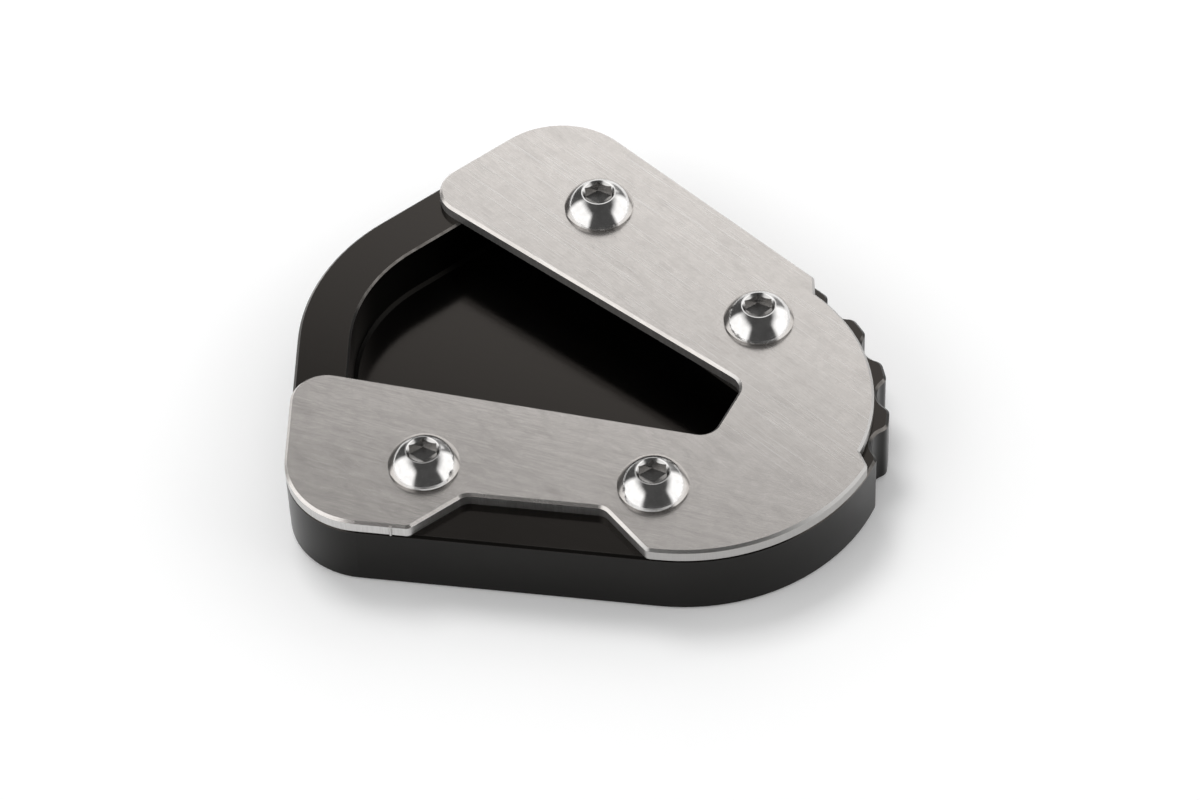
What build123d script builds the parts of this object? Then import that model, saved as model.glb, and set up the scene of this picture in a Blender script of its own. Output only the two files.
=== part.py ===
from build123d import *
import math
import os

# Kickstand foot enlarger for a motorcycle side stand, in millimetres.
# +X runs along the open slot towards the round nose, +Y to the left, +Z up.
# The origin is on the sole, at the middle of the footprint.

# Outline shared by the base and the plate: a hull round four circles
NOSE_RADIUS = 30.0
SIDE_TAPER = 18.35
BACK_REACH = 61.0
BACK_RADIUS = 31.0
BACK_ANGLE = 65.0
CORNER_RADIUS = 12.4

# Base, milled from aluminium plate
BASE_HEIGHT = 11.0
POCKET_FLOOR = 2.5
RIM_WIDTH = 8.0
POCKET_SIDE_WALL = 17.5
POCKET_CORNER_RADIUS = 8.0
POCKET_FLOOR_CHAMFER = 0.5
EDGE_CHAMFER = 0.4
POCKET_EDGE_CHAMFER = 0.3

# Scallops on the left half of the nose
SCALLOP_COUNT = 4
SCALLOP_PITCH = 18.2
FIRST_SCALLOP = 10.2
SCALLOP_DEPTH = 1.8
SCALLOP_RADIUS = 3.2
LOBE_ROUNDING = 1.5

# Clamp plate, cut from stainless sheet
PLATE_THICKNESS = 2.0
PLATE_EDGE_CHAMFER = 0.4
SLOT_TAPER = 13.1
SLOT_END = 6.9
SLOT_END_WIDTH = 11.2
SLOT_END_RADIUS = 2.8
ARM_TIP_RADIUS = 5.2
NOSE_CUT_DEPTH = 2.3
NOSE_CUT_START = 2.0
NOSE_CUT_END = 71.5
NOSE_CUT_FLANK = 45.0
PLATE_CORNER_ROUNDING = 1.2

# Label window in the right edge of the plate
WINDOW_DEPTH = 7.1
WINDOW_LENGTH = 20.3
WINDOW_SETBACK = 18.9
WINDOW_FLANK = 45.0
WINDOW_CORNER_RADIUS = 2.2

# M6 button head screws
SCREW_INSET = 12.0
SCREW_SPACING = 33.6
FRONT_SCREW_X = 3.5
SHANK_DIAMETER = 6.0
SHANK_LENGTH = 8.0
HEAD_DIAMETER = 10.5
HEAD_HEIGHT = 3.3
HEAD_LAND = 0.35
HEAD_FLAT = 5.25
HEX_ACROSS_FLATS = 4.0
HEX_DEPTH = 2.1
HEX_MOUTH = 4.9
HEX_POINT_DEPTH = 0.5
DRILL_POINT = 118.0

# Fits
THREAD_CLEARANCE = 0.05
PLATE_HOLE_CLEARANCE = 0.3
HOLE_EXTRA_DEPTH = 1.2

# How far cutting shapes run past the part
OVERSHOOT = 20.0

# Values that follow from the sizes above
side = math.radians(SIDE_TAPER)
back = math.radians(BACK_ANGLE)
side_normal = Vector(math.sin(side), math.cos(side))
back_normal = Vector(-math.sin(back), math.cos(back))
back_circle_x = BACK_RADIUS - BACK_REACH
back_line = back_normal.X * back_circle_x + BACK_RADIUS
nose_x = (BACK_REACH - NOSE_RADIUS) / 2
plate_top = BASE_HEIGHT + PLATE_THICKNESS


def corner_centre(side_distance, back_distance):
    """Point at the given distances from the nose centre along the side and back normals."""
    turn = side_normal.X * back_normal.Y - side_normal.Y * back_normal.X
    x = (side_distance * back_normal.Y - side_normal.Y * back_distance) / turn
    y = (side_normal.X * back_distance - side_distance * back_normal.X) / turn
    return Vector(x, y)


def across(point):
    """The same point on the other side of the slot axis."""
    return Vector(point.X, -point.Y)


def kite_outline(nose_radius, corner_radius, back_inset):
    """Round nose, two tapered sides, two rounded corners and a rounded back."""
    back_radius = BACK_RADIUS - back_inset
    corner = corner_centre(
        nose_radius - corner_radius, back_line - back_inset - corner_radius
    )
    corner_middle = (side_normal + back_normal).normalized()
    nose_end = side_normal * nose_radius
    side_end = corner + side_normal * corner_radius
    corner_end = corner + back_normal * corner_radius
    back_end = Vector(back_circle_x, 0) + back_normal * back_radius
    left = [
        Line(nose_end, side_end),
        ThreePointArc(side_end, corner + corner_middle * corner_radius, corner_end),
        Line(corner_end, back_end),
    ]
    right = [mirror(edge, Plane.XZ) for edge in left]
    nose = ThreePointArc(across(nose_end), (nose_radius, 0), nose_end)
    back_arc = ThreePointArc(back_end, (back_circle_x - back_radius, 0), across(back_end))
    return make_face(left + right + [nose, back_arc])


def outline():
    """Footprint of base and plate before the scallops."""
    return kite_outline(NOSE_RADIUS, CORNER_RADIUS, 0)


def pocket_outline():
    """Pocket for the foot of the stand: a narrow rim behind, broad walls at the screws."""
    return kite_outline(NOSE_RADIUS - POCKET_SIDE_WALL, POCKET_CORNER_RADIUS, RIM_WIDTH)


def slot_outline():
    """V slot of the plate, open at the back."""
    open_x = -BACK_REACH - OVERSHOOT
    half_end = SLOT_END_WIDTH / 2
    half_open = half_end + (SLOT_END - open_x) * math.tan(math.radians(SLOT_TAPER))
    corners = [
        (open_x, -half_open),
        (SLOT_END, -half_end),
        (SLOT_END, half_end),
        (open_x, half_open),
    ]
    slot = make_face(Polyline(*corners, close=True))
    return fillet(slot.vertices().group_by(Axis.X)[-1], SLOT_END_RADIUS)


def arms_outline():
    """Footprint of the plate before its edges are set back: two arms and the nose."""
    arms = outline() - slot_outline()
    tips = arms.vertices().sort_by(Axis.X)[:2]
    return fillet(tips, ARM_TIP_RADIUS)


def polar(radius, degrees):
    """Point on a circle round the nose centre."""
    angle = math.radians(degrees)
    return Vector(radius * math.cos(angle), radius * math.sin(angle))


def round_outer_corners(face, radius):
    """Rounds each corner that points outwards, and leaves larger radii as they are."""
    return offset(offset(face, -radius), radius)


def scalloped_outline():
    """Footprint of the base, with round notches milled into the left half of the nose."""
    cutter_orbit = NOSE_RADIUS - SCALLOP_DEPTH + SCALLOP_RADIUS
    footprint = outline()
    for i in range(SCALLOP_COUNT):
        centre = polar(cutter_orbit, FIRST_SCALLOP + i * SCALLOP_PITCH)
        footprint -= Pos(centre) * Circle(SCALLOP_RADIUS)
    return round_outer_corners(footprint, LOBE_ROUNDING)


def window_outline():
    """Trapezoid cut into the right edge of the plate, over the label land."""
    depth = WINDOW_DEPTH + OVERSHOOT
    spread = depth / math.tan(math.radians(WINDOW_FLANK))
    half = WINDOW_LENGTH / 2
    corners = [(-half, 0), (half, 0), (half + spread, -depth), (-half - spread, -depth)]
    window = make_face(Polyline(*corners, close=True))
    window = fillet(window.vertices().group_by(Axis.Y)[-1], WINDOW_CORNER_RADIUS)
    inner_edge = across(side_normal) * (NOSE_RADIUS - WINDOW_DEPTH)
    return Pos(inner_edge) * Rot(0, 0, SIDE_TAPER) * Pos(-WINDOW_SETBACK, 0) * window


def nose_cut_outline():
    """Sector outside the plate where its nose is set back to show the scallops."""
    inner = NOSE_RADIUS - NOSE_CUT_DEPTH
    reach = 2 * NOSE_RADIUS
    start = polar(inner, NOSE_CUT_START)
    end = polar(inner, NOSE_CUT_END)
    corners = [
        start,
        start + polar(reach, NOSE_CUT_START - NOSE_CUT_FLANK),
        polar(2 * reach, (NOSE_CUT_START + NOSE_CUT_END) / 2),
        end + polar(reach, NOSE_CUT_END + NOSE_CUT_FLANK),
        end,
    ]
    return make_face(Polyline(*corners, close=True)) - Circle(inner)


def screw_places():
    """Screw axes: two on each side, in line with the side of the outline."""
    line = NOSE_RADIUS - SCREW_INSET
    rear_x = FRONT_SCREW_X - SCREW_SPACING * math.cos(side)
    places = {}
    for end, x in (("front", FRONT_SCREW_X), ("rear", rear_x)):
        y = (line - side_normal.X * x) / side_normal.Y
        places[end + "_left"] = (x, y)
        places[end + "_right"] = (x, -y)
    return places


def block(face, height):
    """Prism with both outer edges broken."""
    solid = extrude(face, height)
    ends = solid.edges().group_by(Axis.Z)
    return chamfer(ends[0] + ends[-1], EDGE_CHAMFER)


def tapped_hole():
    """Blind hole with its axis on Z and its mouth at Z = 0, threads left out."""
    radius = SHANK_DIAMETER / 2 + THREAD_CLEARANCE
    depth = SHANK_LENGTH - PLATE_THICKNESS + HOLE_EXTRA_DEPTH
    point = radius / math.tan(math.radians(DRILL_POINT / 2))
    half_section = make_face(
        Polyline((0, 0), (radius, 0), (radius, -depth), (0, -depth - point), close=True)
    )
    return revolve(Plane.XZ * half_section, Axis.Z)


def base():
    """Body with the pocket, the scallops and four tapped holes under one flat top."""
    pocket = extrude(Pos(0, 0, POCKET_FLOOR) * pocket_outline(), BASE_HEIGHT)
    pocket = chamfer(pocket.edges().group_by(Axis.Z)[0], POCKET_FLOOR_CHAMFER)
    body = block(scalloped_outline(), BASE_HEIGHT) - pocket
    mouth = body.faces().sort_by(Axis.Z)[-1].inner_wires()[0]
    body = chamfer(mouth.edges(), POCKET_EDGE_CHAMFER)
    holes = [Pos(x, y, BASE_HEIGHT) * tapped_hole() for x, y in screw_places().values()]
    return body - holes


def clamp_plate():
    """V shaped stainless plate with slot, label window, set-back nose and screw holes."""
    face = arms_outline() - nose_cut_outline() - window_outline()
    face = round_outer_corners(face, PLATE_CORNER_ROUNDING)
    holes = [
        Pos(x, y) * Circle(SHANK_DIAMETER / 2 + PLATE_HOLE_CLEARANCE)
        for x, y in screw_places().values()
    ]
    plate = extrude(Pos(0, 0, BASE_HEIGHT) * (face - holes), PLATE_THICKNESS)
    top_edges = plate.faces().sort_by(Axis.Z)[-1].outer_wire().edges()
    return chamfer(top_edges, PLATE_EDGE_CHAMFER)


def screw():
    """Button head screw with its axis on Z and the underside of its head at Z = 0."""
    rim = HEAD_DIAMETER / 2
    flat = HEAD_FLAT / 2
    shank = SHANK_DIAMETER / 2
    rise = HEAD_HEIGHT - HEAD_LAND
    sphere_z = HEAD_LAND + (rise**2 + flat**2 - rim**2) / (2 * rise)
    dome = math.hypot(rim, HEAD_LAND - sphere_z)
    middle = (rim + flat) / 2
    middle_z = sphere_z + math.sqrt(dome**2 - middle**2)
    outline_right = [
        Polyline(
            (0, HEAD_HEIGHT), (0, -SHANK_LENGTH), (shank, -SHANK_LENGTH), (shank, 0),
            (rim, 0), (rim, HEAD_LAND),
        ),
        ThreePointArc((rim, HEAD_LAND), (middle, middle_z), (flat, HEAD_HEIGHT)),
        Line((flat, HEAD_HEIGHT), (0, HEAD_HEIGHT)),
    ]
    turned = revolve(Plane.XZ * make_face(outline_right), Axis.Z)
    return turned - hex_socket()


def hex_socket():
    """Hexagon with a chamfered mouth and the shallow point of the punch under it."""
    corner = HEX_ACROSS_FLATS / 2 / math.cos(math.radians(30))
    floor = HEAD_HEIGHT - HEX_DEPTH
    section = Pos(0, 0, floor) * RegularPolygon(corner, 6)
    hexagon = extrude(section, HEX_DEPTH)
    tip = Vector(0, 0, floor - HEX_POINT_DEPTH)
    sides = [make_face(Polyline(edge @ 0, edge @ 1, tip, close=True)) for edge in section.edges()]
    point = Solid(Shell(sides + [section.face()]))
    half = HEX_ACROSS_FLATS / 2
    mouth_radius = HEX_MOUTH / 2
    mouth_depth = mouth_radius - half
    mouth = Pos(0, 0, HEAD_HEIGHT - mouth_depth / 2) * Cone(half, mouth_radius, mouth_depth)
    return hexagon + point + mouth


def main():
    nodes = {"base": base(), "clamp_plate": clamp_plate()}
    for place, (x, y) in screw_places().items():
        nodes["screw_" + place] = Pos(x, y, plate_top) * screw()
    os.makedirs("parts", exist_ok=True)
    for name, shape in nodes.items():
        placed = Pos(nose_x, 0, 0) * shape
        export_step(placed, "parts/" + name + ".step")


main()
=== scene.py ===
import math

import bpy
from mathutils import Matrix, Vector

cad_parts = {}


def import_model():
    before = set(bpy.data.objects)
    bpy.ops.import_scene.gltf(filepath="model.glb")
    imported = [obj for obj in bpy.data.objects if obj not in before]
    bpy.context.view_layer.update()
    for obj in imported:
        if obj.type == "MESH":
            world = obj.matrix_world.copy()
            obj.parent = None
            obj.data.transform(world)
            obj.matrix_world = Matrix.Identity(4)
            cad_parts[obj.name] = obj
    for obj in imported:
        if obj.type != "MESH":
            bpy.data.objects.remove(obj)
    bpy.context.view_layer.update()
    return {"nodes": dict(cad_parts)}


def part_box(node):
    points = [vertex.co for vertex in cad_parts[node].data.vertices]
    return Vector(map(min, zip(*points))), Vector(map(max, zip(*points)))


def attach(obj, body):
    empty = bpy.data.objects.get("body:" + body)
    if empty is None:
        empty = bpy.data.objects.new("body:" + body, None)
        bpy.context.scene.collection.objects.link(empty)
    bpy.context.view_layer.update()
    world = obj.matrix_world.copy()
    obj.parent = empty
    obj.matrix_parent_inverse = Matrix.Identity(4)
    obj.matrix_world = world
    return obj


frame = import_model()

NODES = frame["nodes"]

# Lengths are in metres, +Z up, with the round nose towards +X and its scallops on the
# +Y side. Where a value is a pair of limits, a mask rises or falls between them.

# Camera, fitted to the outline, the slot and the four screw heads of the photograph
LENS_MM = 140.0
SENSOR_MM = 36.0
CAMERA_AZIMUTH = math.radians(28.525)
CAMERA_PITCH = math.radians(48.914)
CAMERA_ROLL = math.radians(-2.537)
CAMERA_DISTANCE = 0.702195
CAMERA_TARGET = Vector((-0.00071, 0.003532, 0.0))
CAMERA_CLIP = (0.01, 20.0)

# Soft boxes behind the object: centre, point aimed at, width, height, radiance, and the
# shares of the half width and of the height over which it fades
BACK_BOXES = {
    "back_near": (
        (-0.155, 0.3407, 0.2433), (-0.155, 0.1632, 0.0139), 0.55, 0.325, 0.85, (0.1, 0.20),
    ),
    "back_wide": (
        (-0.32, 0.58, 0.78), (0.0, 0.0, 0.0), 1.20, 0.90, 0.12, (0.4, 0.4),
    ),
}
# Upright soft boxes beside the camera: bearing from the camera and half the angle that
# each spans, in degrees, and its height
SIDE_BOXES = {"left": (-73.0, 45.0, 1.06), "right": (90.0, 43.0, 0.88)}
SIDE_DISTANCE = 0.70
SIDE_RADIANCE = 1.45
SIDE_FADE = (0.33, 0.46)
# High up behind on the left, it lights the shadow and isn't mirrored by the metal
FILL = ((-0.62, 0.42, 1.36), (0.0, 0.0, 0.0), 0.60, 0.60, 7.1)

# Room: bearing of its lightest part from the camera, in degrees, the height of that part
# over a distance of one, and the limits of the dot product with the way to it
ROOM_BEARING = 168.0
ROOM_LIFT = 0.35
ROOM_SPREAD = (0.72, 1.0)
# Radiance of the room as gloss mirrors it, at its lightest and elsewhere, and as it
# lights matt surfaces
ROOM_LEVEL = 0.34
ROOM_DARK = 0.085
ROOM_FILL = 0.34

WHITE = (1, 1, 1, 1)
FLOOR_HALF_WIDTH = 3.0
PAPER_COLOUR = (0.97, 0.97, 0.97, 1)
# Added to the paper as the camera and gloss see it, so that it is white past the shadow
PAPER_GLOW = 0.07

# Usual limits of a noise, for soft and for clear patches
SOFT = (0.3, 0.7)
CLEAR = (0.35, 0.65)

# Black anodising: darkest and lightest tone, worn edges, the painted highlight on bevels that
# face -Y, and the tint of the gloss on flats and, darker as painted shade, on upright walls
ANODISED_TONES = ((0.0012, 0.0011, 0.0010, 1), (0.0022, 0.0021, 0.0019, 1))
WORN_TONE = (0.10, 0.097, 0.093, 1)
BEVEL_HIGHLIGHT_TONE = (0.21, 0.20, 0.19, 1)
FLAT_GLOSS = (1.0, 0.89, 0.80, 1)
SHADED_WALL_GLOSS = (0.185, 0.170, 0.152, 1)
WORN_SHARE = 0.35
WORN_EDGE_RADIUS = 0.00035
WORN_EDGE = (0.02, 0.16)
WORN_ROUGHNESS = 0.34
WALL_ROUGHNESS = 0.28
# Limits between walls, bevels and flats, by how far the surface faces up
WALL_BELOW = (0.2, 0.5)
BEVEL_ABOVE = (0.5, 0.6)
BEVEL_BELOW = (0.85, 0.92)
# Painted highlight on the upper bevels that face -Y, on the left of the base: limits of the
# height, which also bound the worn edges, of the Y share of the direction that the bevel
# faces, and of its Y
WEAR_AND_HIGHLIGHT_HEIGHT = (0.006, 0.008)
HIGHLIGHT_FACING = (-0.06, 0.16)
HIGHLIGHT_LEFT = (-0.008, -0.003)
# Specks per metre, also of the patches in the painted bevel highlight, size of a mill mark,
# and heights of the marks and of the grain
ANODISED_GRAIN = 9000.0
ANODISED_CLOUD = 60.0
HIGHLIGHT_PATCHES = 700.0
MILL_MARK = (0.020, 0.00025, 0.004)
MILL_MARK_HEIGHT = 0.0000012
ANODISED_GRAIN_HEIGHT = 0.0000020

# Each arm was brushed along its own side, and the nose with the left arm
LEFT_GRAIN = math.radians(-20.0)
RIGHT_GRAIN = math.radians(7.0)
GRAIN_CHANGE = (-0.013, -0.004)
SCRATCH_TURN = 0.05
# Sizes of one streak along the grain, across it and upright
FINE_STREAK = (0.0028, 0.00014, 0.002)
BROAD_STREAK = (0.012, 0.0009, 0.004)
SCRATCH = (0.010, 0.00022, 0.002)
STAIN = (0.007, 0.0022, 0.004)
CUT_STREAK = (0.00022, 0.00022, 0.0030)
STREAK_HEIGHT = 0.0000045
# Specks per metre on the sheet
SHEET_SPECK = 2600.0
SHEET_BLOTCH = 650.0
SHEET_PATCH = 120.0
SHEET_CLOUD = 35.0
# Tones of the sheet: darkest and lightest of the grain, then each kind of mark with the
# share at which it shows
GRAIN_TONES = ((0.54, 0.512, 0.488, 1), (0.71, 0.672, 0.642, 1))
BROAD_TONE, BROAD_SHARE = (0.74, 0.705, 0.675, 1), 0.35
SPECK_TONE, SPECK_SHARE = (0.52, 0.493, 0.47, 1), 0.18
BLOTCH_TONE, BLOTCH_SHARE = (0.50, 0.474, 0.452, 1), 0.24
STAIN_TONE, STAIN_SHARE = (0.44, 0.415, 0.395, 1), 0.36
SCRATCH_TONE, SCRATCH_SHARE = (0.85, 0.83, 0.81, 1), 0.45
# Limits of the noise for the rarer marks
BLOTCH_LIMITS = (0.40, 0.65)
STAIN_LIMITS = (0.54, 0.74)
SCRATCH_LIMITS = (0.60, 0.70)
# Darkest and lightest tone of the cut edges, and the darker tone painted on those round the
# nose as painted shade
CUT_TONES = ((0.52, 0.51, 0.50, 1), (0.64, 0.63, 0.62, 1))
NOSE_CUT_SHADE, NOSE_CUT_SHADE_SHARE = (0.34, 0.33, 0.32, 1), 0.6
SHEET_METALLIC = 0.9
# Limits of the bevel and of the flat, by how far the surface faces up
SHEET_BEVEL = (0.35, 0.75)
SHEET_FLAT = (0.80, 0.95)
# Limits in X: past the first the bevel round the nose takes the cut edges' colour and both
# are painted darker as painted shade, and past the second the grain is fainter
SHADED_NOSE = (0.018, 0.024)
FAINT_NOSE = (0.0, 0.02)
FAINT_SHARE = 0.65

# Screw heads: darkest and lightest tone, turned rings, and the punched socket, which ends
# at this radius as a share of the head's width
HEAD_TONES = ((0.63, 0.62, 0.61, 1), (0.71, 0.70, 0.69, 1))
HEAD_CLOUD = 900.0
HEAD_RINGS = 22.0
HEAD_RING_HEIGHT = 0.0000012
SOCKET_RADIUS = (0.218, 0.228)
SOCKET_TONE = (0.52, 0.51, 0.50, 1)
SOCKET_ROUGHNESS = 0.24

# Lead-in mark of the cutting beam, on the tapered right edge of the clamp plate
SIDE_TAPER = math.radians(18.35)
TICK_PLACE = (-0.0119, -0.04065, 0.0)
TICK_WIDTH = 0.00050
TICK_DEPTH = 0.00045
TICK_ABOVE_SEAT = 0.00005
TICK_BELOW_TOP = 0.00015
TICK_STEPS = 8


class Graph:
    """Short calls for building the nodes of one material, lamp or world."""

    def __init__(self, tree):
        self.tree = tree
        tree.nodes.clear()

    def add(self, kind, links=None, **settings):
        node = self.tree.nodes.new(kind)
        for name, value in settings.items():
            setattr(node, name, value)
        for name, value in (links or {}).items():
            self.put(node.inputs[name], value)
        return node

    def put(self, socket, value):
        if isinstance(value, bpy.types.NodeSocket):
            self.tree.links.new(value, socket)
        else:
            socket.default_value = value

    def math(self, operation, a, b=0.0):
        node = self.add("ShaderNodeMath", operation=operation)
        self.put(node.inputs[0], a)
        self.put(node.inputs[1], b)
        return node.outputs[0]

    def product(self, first, *others):
        for other in others:
            first = self.math("MULTIPLY", first, other)
        return first

    def opposite(self, mask):
        return self.math("SUBTRACT", 1.0, mask)

    def ramp(self, value, low, high, to_low=0.0, to_high=1.0):
        node = self.add("ShaderNodeMapRange", {
            "Value": value, "From Min": low, "From Max": high,
            "To Min": to_low, "To Max": to_high,
        })
        return node.outputs["Result"]

    def fall(self, value, low, high):
        return self.ramp(value, low, high, 1.0, 0.0)

    def mix_colour(self, factor, a, b):
        node = self.add("ShaderNodeMix", data_type="RGBA")
        self.put(node.inputs["Factor"], factor)
        self.put(node.inputs[6], a)
        self.put(node.inputs[7], b)
        return node.outputs[2]

    def mix_value(self, factor, a, b):
        node = self.add("ShaderNodeMix", data_type="FLOAT")
        self.put(node.inputs["Factor"], factor)
        self.put(node.inputs[2], a)
        self.put(node.inputs[3], b)
        return node.outputs[0]

    def mix_shader(self, factor, a, b):
        node = self.add("ShaderNodeMixShader", {"Fac": factor})
        self.put(node.inputs[1], a)
        self.put(node.inputs[2], b)
        return node.outputs[0]

    def dot(self, a, b):
        node = self.add("ShaderNodeVectorMath", operation="DOT_PRODUCT")
        self.put(node.inputs[0], a)
        self.put(node.inputs[1], b)
        return node.outputs["Value"]

    def xyz(self, vector):
        return self.add("ShaderNodeSeparateXYZ", {"Vector": vector}).outputs

    def normal(self):
        return self.add("ShaderNodeNewGeometry").outputs["Normal"]

    def noise(self, vector, scale, detail=2.0, roughness=0.5):
        node = self.add("ShaderNodeTexNoise", {
            "Vector": vector, "Scale": scale, "Detail": detail, "Roughness": roughness,
        })
        return node.outputs["Fac"]

    def streaks(self, vector, angle, size, detail=2.0, roughness=0.5):
        """Noise of specks of the given size, turned by the angle about Z."""
        turned = self.add("ShaderNodeMapping", {"Vector": vector, "Rotation": (0.0, 0.0, -angle)})
        scaled = self.add("ShaderNodeMapping", {
            "Vector": turned.outputs[0], "Scale": tuple(1.0 / length for length in size),
        })
        return self.noise(scaled.outputs[0], 1.0, detail, roughness)

    def bump(self, height, distance, normal=None):
        node = self.add("ShaderNodeBump", {
            "Height": height, "Distance": distance, "Strength": 1.0,
        })
        if normal is not None:
            self.put(node.inputs["Normal"], normal)
        return node.outputs["Normal"]

    def edge_mask(self, radius, low, high):
        """One on worn edges, nought on flats."""
        bevel = self.add("ShaderNodeBevel", {"Radius": radius}, samples=6)
        return self.ramp(self.opposite(self.dot(bevel.outputs[0], self.normal())), low, high)

    def finish(self, kind, shader):
        output = self.add(kind)
        self.put(output.inputs["Surface"], shader)


def new_material(name):
    material = bpy.data.materials.new(name)
    material.use_nodes = True
    return material, Graph(material.node_tree)


def finish_material(g, sockets):
    """Ends a material with one principled shader that has the given sockets."""
    g.finish("ShaderNodeOutputMaterial", g.add("ShaderNodeBsdfPrincipled", sockets).outputs[0])


def anodised_black():
    """Black anodised aluminium: fine satin grain, faint mill marks, worn edges, a painted
    highlight on bevels facing -Y and painted shade in the gloss of walls.
    """
    material, g = new_material("anodised_black")
    place = g.add("ShaderNodeTexCoord").outputs["Object"]
    spot = g.xyz(place)
    facing = g.xyz(g.normal())
    up = g.math("ABSOLUTE", facing["Z"])
    grain = g.noise(place, ANODISED_GRAIN, 3.0, 0.6)
    cloud = g.noise(place, ANODISED_CLOUD, 3.0, 0.55)
    highlight_patches = g.noise(place, HIGHLIGHT_PATCHES)
    marks = g.streaks(place, 0.0, MILL_MARK)

    bevel = g.product(g.ramp(up, *BEVEL_ABOVE), g.fall(up, *BEVEL_BELOW))
    high = g.ramp(spot["Z"], *WEAR_AND_HIGHLIGHT_HEIGHT)
    lit_side = g.product(high, g.fall(facing["Y"], *HIGHLIGHT_FACING))
    wear = g.product(g.edge_mask(WORN_EDGE_RADIUS, *WORN_EDGE), g.ramp(cloud, *SOFT, 0.35, 1.0))
    # Painted highlight: a lighter tone, in patches, on the upper bevels that face -Y
    bevel_highlight = g.product(
        bevel, lit_side, g.ramp(spot["Y"], *HIGHLIGHT_LEFT), g.ramp(highlight_patches, *CLEAR, 0.35, 1.0),
    )
    # Painted shade: the bevels that face away take the darker gloss tint of the walls
    shaded_bevel = g.product(bevel, g.opposite(lit_side))
    wall = g.math("MAXIMUM", g.fall(up, *WALL_BELOW), shaded_bevel)

    colour = g.mix_colour(g.ramp(cloud, *CLEAR), *ANODISED_TONES)
    colour = g.mix_colour(g.product(wear, high, WORN_SHARE), colour, WORN_TONE)
    # Painted highlight on the bevels that face -Y
    colour = g.mix_colour(bevel_highlight, colour, BEVEL_HIGHLIGHT_TONE)
    rough = g.math("ADD", g.ramp(cloud, *SOFT, 0.10, 0.13), g.ramp(marks, *SOFT, 0.0, 0.03))
    rough = g.mix_value(g.product(wear, 0.5), rough, WORN_ROUGHNESS)
    rough = g.mix_value(wall, rough, WALL_ROUGHNESS)
    normal = g.bump(grain, ANODISED_GRAIN_HEIGHT, g.bump(marks, MILL_MARK_HEIGHT))
    finish_material(g, {
        "Base Color": colour, "Roughness": rough, "Normal": normal,
        # The darker gloss tint of walls and of bevels that face away is painted shade
        "Specular Tint": g.mix_colour(wall, FLAT_GLOSS, SHADED_WALL_GLOSS),
    })
    return material


def brushed_stainless():
    """Brushed stainless sheet: linear grain on top, upright cutting marks on its edges."""
    material, g = new_material("brushed_stainless")
    place = g.add("ShaderNodeTexCoord").outputs["Object"]
    spot = g.xyz(place)
    up = g.math("ABSOLUTE", g.xyz(g.normal())["Z"])

    # Round the nose, painted shade: the bevel takes the cut colour, which is darker there
    nose = g.ramp(spot["X"], *SHADED_NOSE)
    faint = g.ramp(spot["X"], *FAINT_NOSE, 1.0, FAINT_SHARE)
    left_share = g.ramp(spot["Y"], *GRAIN_CHANGE)
    bevel = g.product(g.ramp(up, *SHEET_BEVEL), g.opposite(nose))
    top = g.math("MAXIMUM", g.ramp(up, *SHEET_FLAT), bevel)

    fine, broad = [
        g.mix_value(left_share, *[
            g.streaks(place, angle, size, 3.0, 0.6) for angle in (RIGHT_GRAIN, LEFT_GRAIN)
        ])
        for size in (FINE_STREAK, BROAD_STREAK)
    ]
    scratch = g.streaks(place, LEFT_GRAIN + SCRATCH_TURN, SCRATCH, 1.0)
    scratch = g.product(g.ramp(scratch, *SCRATCH_LIMITS), g.product(left_share, faint))
    stain = g.streaks(place, LEFT_GRAIN, STAIN, 3.0, 0.6)
    upright = g.streaks(place, 0.0, CUT_STREAK, 2.0, 0.6)
    speck = g.noise(place, SHEET_SPECK, 2.0, 0.6)
    blotch = g.noise(place, SHEET_BLOTCH)
    patch = g.noise(place, SHEET_PATCH)
    cloud = g.noise(place, SHEET_CLOUD)

    grain_share = g.product(g.ramp(patch, *CLEAR, 0.4, 1.0), faint)
    tone = g.mix_colour(g.mix_value(grain_share, 0.5, g.ramp(fine, *SOFT)), *GRAIN_TONES)
    for share, mark in (
        (g.ramp(broad, *CLEAR, 0.0, BROAD_SHARE), BROAD_TONE),
        (g.ramp(speck, *CLEAR, 0.0, SPECK_SHARE), SPECK_TONE),
        (g.ramp(blotch, *BLOTCH_LIMITS, 0.0, BLOTCH_SHARE), BLOTCH_TONE),
        (g.ramp(stain, *STAIN_LIMITS, 0.0, STAIN_SHARE), STAIN_TONE),
        (g.product(scratch, SCRATCH_SHARE), SCRATCH_TONE),
    ):
        tone = g.mix_colour(share, tone, mark)
    cut = g.mix_colour(g.ramp(upright, *SOFT), *CUT_TONES)
    # Painted shade on the cut edges round the nose
    cut = g.mix_colour(g.product(nose, NOSE_CUT_SHADE_SHARE), cut, NOSE_CUT_SHADE)

    rough = g.math("ADD", g.ramp(broad, *SOFT, 0.21, 0.26), g.ramp(cloud, *SOFT, -0.015, 0.015))
    rough = g.math("ADD", rough, g.product(scratch, 0.06))
    rough = g.mix_value(top, g.ramp(upright, *SOFT, 0.32, 0.44), rough)
    height = g.mix_value(top, upright, g.math("ADD", fine, g.product(speck, 0.6)))
    height = g.math("ADD", height, g.product(scratch, 0.35))
    finish_material(g, {
        "Base Color": g.mix_colour(top, cut, tone), "Metallic": SHEET_METALLIC,
        "Roughness": rough, "Normal": g.bump(height, STREAK_HEIGHT),
    })
    return material


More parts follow.
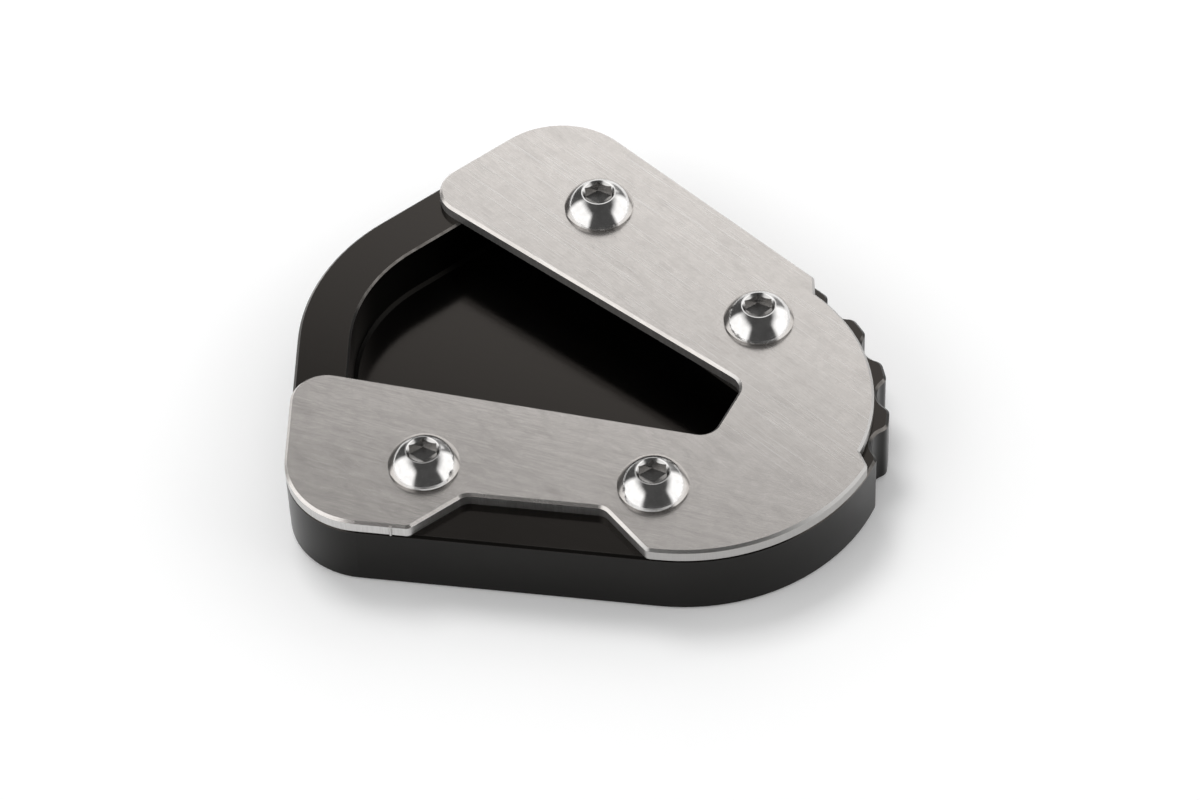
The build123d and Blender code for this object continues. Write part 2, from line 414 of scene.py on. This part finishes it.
def polished_stainless():
    """Polished button heads: fine turned rings, a few worn spots and a matt punched socket."""
    material, g = new_material("polished_stainless")
    coords = g.add("ShaderNodeTexCoord")
    centred = g.add("ShaderNodeMapping", {
        "Vector": coords.outputs["Generated"], "Location": (-0.5, -0.5, 0.0),
    }).outputs[0]
    spot = g.xyz(centred)
    flat = g.add("ShaderNodeCombineXYZ", {"X": spot["X"], "Y": spot["Y"]}).outputs[0]
    radius = g.add("ShaderNodeVectorMath", {"Vector": flat}, operation="LENGTH").outputs["Value"]
    socket = g.fall(radius, *SOCKET_RADIUS)
    rings = g.add("ShaderNodeTexWave", {
        "Vector": centred, "Scale": HEAD_RINGS, "Distortion": 1.5, "Detail": 2.0,
        "Detail Scale": 4.0,
    }, wave_type="RINGS", rings_direction="Z").outputs["Fac"]
    cloud = g.noise(coords.outputs["Object"], HEAD_CLOUD, 3.0)
    tone = g.mix_colour(g.ramp(cloud, *CLEAR), *HEAD_TONES)
    rough = g.math("ADD", g.ramp(cloud, *SOFT, 0.09, 0.14), g.ramp(rings, 0.0, 1.0, 0.0, 0.03))
    finish_material(g, {
        "Base Color": g.mix_colour(socket, tone, SOCKET_TONE), "Metallic": 1.0,
        "Roughness": g.mix_value(socket, rough, SOCKET_ROUGHNESS),
        "Normal": g.bump(rings, HEAD_RING_HEIGHT),
    })
    return material


def paint(names, material):
    for name in names:
        for slot in NODES[name].material_slots:
            slot.material = material


def lead_in_tick(material):
    """Small upright ridge that the cutting beam left where it entered the sheet."""
    low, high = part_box("clamp_plate")
    outward = Vector((math.sin(SIDE_TAPER), -math.cos(SIDE_TAPER), 0.0))
    along = Vector((math.cos(SIDE_TAPER), math.sin(SIDE_TAPER), 0.0))
    ring = []
    for i in range(TICK_STEPS + 1):
        turn = math.pi * i / TICK_STEPS
        ring.append(
            Vector(TICK_PLACE)
            + along * (TICK_WIDTH / 2 * math.cos(turn))
            + outward * (TICK_DEPTH * math.sin(turn) - TICK_DEPTH / 4)
        )
    levels = (low[2] + TICK_ABOVE_SEAT, (low[2] + high[2]) / 2, high[2] - TICK_BELOW_TOP)
    verts = [(p.x, p.y, z) for z in levels for p in ring]
    count = len(ring)
    faces = []
    for level in range(len(levels) - 1):
        for i in range(count):
            j = (i + 1) % count
            a, b = level * count, (level + 1) * count
            faces.append((a + i, a + j, b + j, b + i))
    faces.append(tuple(reversed(range(count))))
    faces.append(tuple(range((len(levels) - 1) * count, len(levels) * count)))
    mesh = bpy.data.meshes.new("lead_in_tick")
    mesh.from_pydata(verts, [], faces)
    mesh.update()
    mesh.materials.append(material)
    tick = bpy.data.objects.new("lead_in_tick", mesh)
    bpy.context.collection.objects.link(tick)
    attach(tick, "root")


def soft_box(name, place, target, width, height, radiance, fade=None, mirrored=True):
    """Area lamp that fades towards its two sides and its top, over the given shares."""
    lamp = bpy.data.lights.new("soft_box_" + name, "AREA")
    lamp.shape = "RECTANGLE"
    lamp.size = width
    lamp.size_y = height
    lamp.energy = radiance * width * height * math.pi
    if fade:
        lamp.use_nodes = True
        g = Graph(lamp.node_tree)
        share = g.xyz(g.add("ShaderNodeNewGeometry").outputs["Parametric"])
        off_middle = g.math("ABSOLUTE", g.ramp(share["X"], 0.0, 1.0, -1.0, 1.0))
        level = g.product(
            g.fall(off_middle, 1.0 - fade[0], 1.0), g.fall(share["Y"], 1.0 - fade[1], 1.0),
        )
        glow = g.add("ShaderNodeEmission", {"Color": WHITE, "Strength": level})
        g.finish("ShaderNodeOutputLight", glow.outputs[0])
    obj = bpy.data.objects.new("soft_box_" + name, lamp)
    obj.location = place
    obj.rotation_euler = (Vector(target) - obj.location).to_track_quat("-Z", "Y").to_euler()
    obj.visible_camera = False
    obj.visible_glossy = mirrored
    bpy.context.collection.objects.link(obj)


def beside_camera(bearing, distance, height):
    """Point at a bearing from the camera, in degrees and seen from the object."""
    angle = CAMERA_AZIMUTH + math.radians(bearing - 90.0)
    return (distance * math.cos(angle), distance * math.sin(angle), height)


def side_boxes():
    for name, (bearing, half_angle, height) in SIDE_BOXES.items():
        place = beside_camera(bearing, SIDE_DISTANCE, height / 2)
        width = 2 * SIDE_DISTANCE * math.tan(math.radians(half_angle))
        soft_box(name, place, (0.0, 0.0, height / 2), width, height, SIDE_RADIANCE, SIDE_FADE)


def floor():
    """White paper floor that keeps the shadow and reads as white to the camera."""
    half = FLOOR_HALF_WIDTH
    mesh = bpy.data.meshes.new("floor")
    mesh.from_pydata(
        [(-half, -half, 0.0), (half, -half, 0.0), (half, half, 0.0), (-half, half, 0.0)],
        [], [(0, 1, 2, 3)],
    )
    material, g = new_material("white_floor")
    paper = g.add("ShaderNodeBsdfDiffuse", {"Color": PAPER_COLOUR}).outputs[0]
    glow = g.add("ShaderNodeEmission", {"Color": WHITE, "Strength": PAPER_GLOW}).outputs[0]
    path = g.add("ShaderNodeLightPath").outputs
    seen = g.math("MAXIMUM", path["Is Camera Ray"], path["Is Glossy Ray"])
    lit = g.add("ShaderNodeAddShader")
    g.put(lit.inputs[0], paper)
    g.put(lit.inputs[1], glow)
    g.finish("ShaderNodeOutputMaterial", g.mix_shader(seen, paper, lit.outputs[0]))
    mesh.materials.append(material)
    obj = bpy.data.objects.new("floor", mesh)
    bpy.context.collection.objects.link(obj)


def world():
    """Grey room for the object, lightest behind it, and plain white for the camera."""
    scene_world = bpy.data.worlds.new("studio")
    bpy.context.scene.world = scene_world
    scene_world.use_nodes = True
    g = Graph(scene_world.node_tree)
    path = g.add("ShaderNodeLightPath").outputs
    direction = g.add("ShaderNodeTexCoord").outputs["Generated"]
    toward = g.dot(direction, beside_camera(ROOM_BEARING, 1.0, ROOM_LIFT))
    mirrored = g.ramp(toward, *ROOM_SPREAD, ROOM_DARK, ROOM_LEVEL)
    level = g.mix_value(path["Is Diffuse Ray"], mirrored, ROOM_FILL)
    room = g.add("ShaderNodeBackground", {"Color": WHITE, "Strength": level}).outputs[0]
    plain = g.add("ShaderNodeBackground", {"Color": WHITE, "Strength": 1.0}).outputs[0]
    g.finish("ShaderNodeOutputWorld", g.mix_shader(path["Is Camera Ray"], room, plain))


def camera():
    data = bpy.data.cameras.new("camera")
    data.lens = LENS_MM
    data.sensor_width = SENSOR_MM
    data.clip_start, data.clip_end = CAMERA_CLIP
    obj = bpy.data.objects.new("camera", data)
    bpy.context.collection.objects.link(obj)
    cos_p = math.cos(CAMERA_PITCH)
    sin_p = math.sin(CAMERA_PITCH)
    forward = Vector((0.0, cos_p, -sin_p))
    level_right = Vector((1.0, 0.0, 0.0))
    level_up = Vector((0.0, sin_p, cos_p))
    right = level_right * math.cos(CAMERA_ROLL) + level_up * math.sin(CAMERA_ROLL)
    up = level_up * math.cos(CAMERA_ROLL) - level_right * math.sin(CAMERA_ROLL)
    axes = Matrix((right, up, -forward)).transposed()
    turn = Matrix.Rotation(CAMERA_AZIMUTH, 3, "Z")
    place = CAMERA_TARGET - (turn @ forward) * CAMERA_DISTANCE
    obj.matrix_world = Matrix.Translation(place) @ (turn @ axes).to_4x4()
    bpy.context.scene.camera = obj


def write_sizes():
    def plain(box):
        return [[float(value) for value in corner] for corner in box]


stainless = brushed_stainless()
paint(["base"], anodised_black())
paint(["clamp_plate"], stainless)
paint([name for name in NODES if name.startswith("screw_")], polished_stainless())
lead_in_tick(stainless)
for box_name, values in BACK_BOXES.items():
    soft_box(box_name, *values)
side_boxes()
soft_box("fill", *FILL, mirrored=False)
floor()
world()
camera()
bpy.context.scene.view_settings.view_transform = "Standard"
write_sizes()
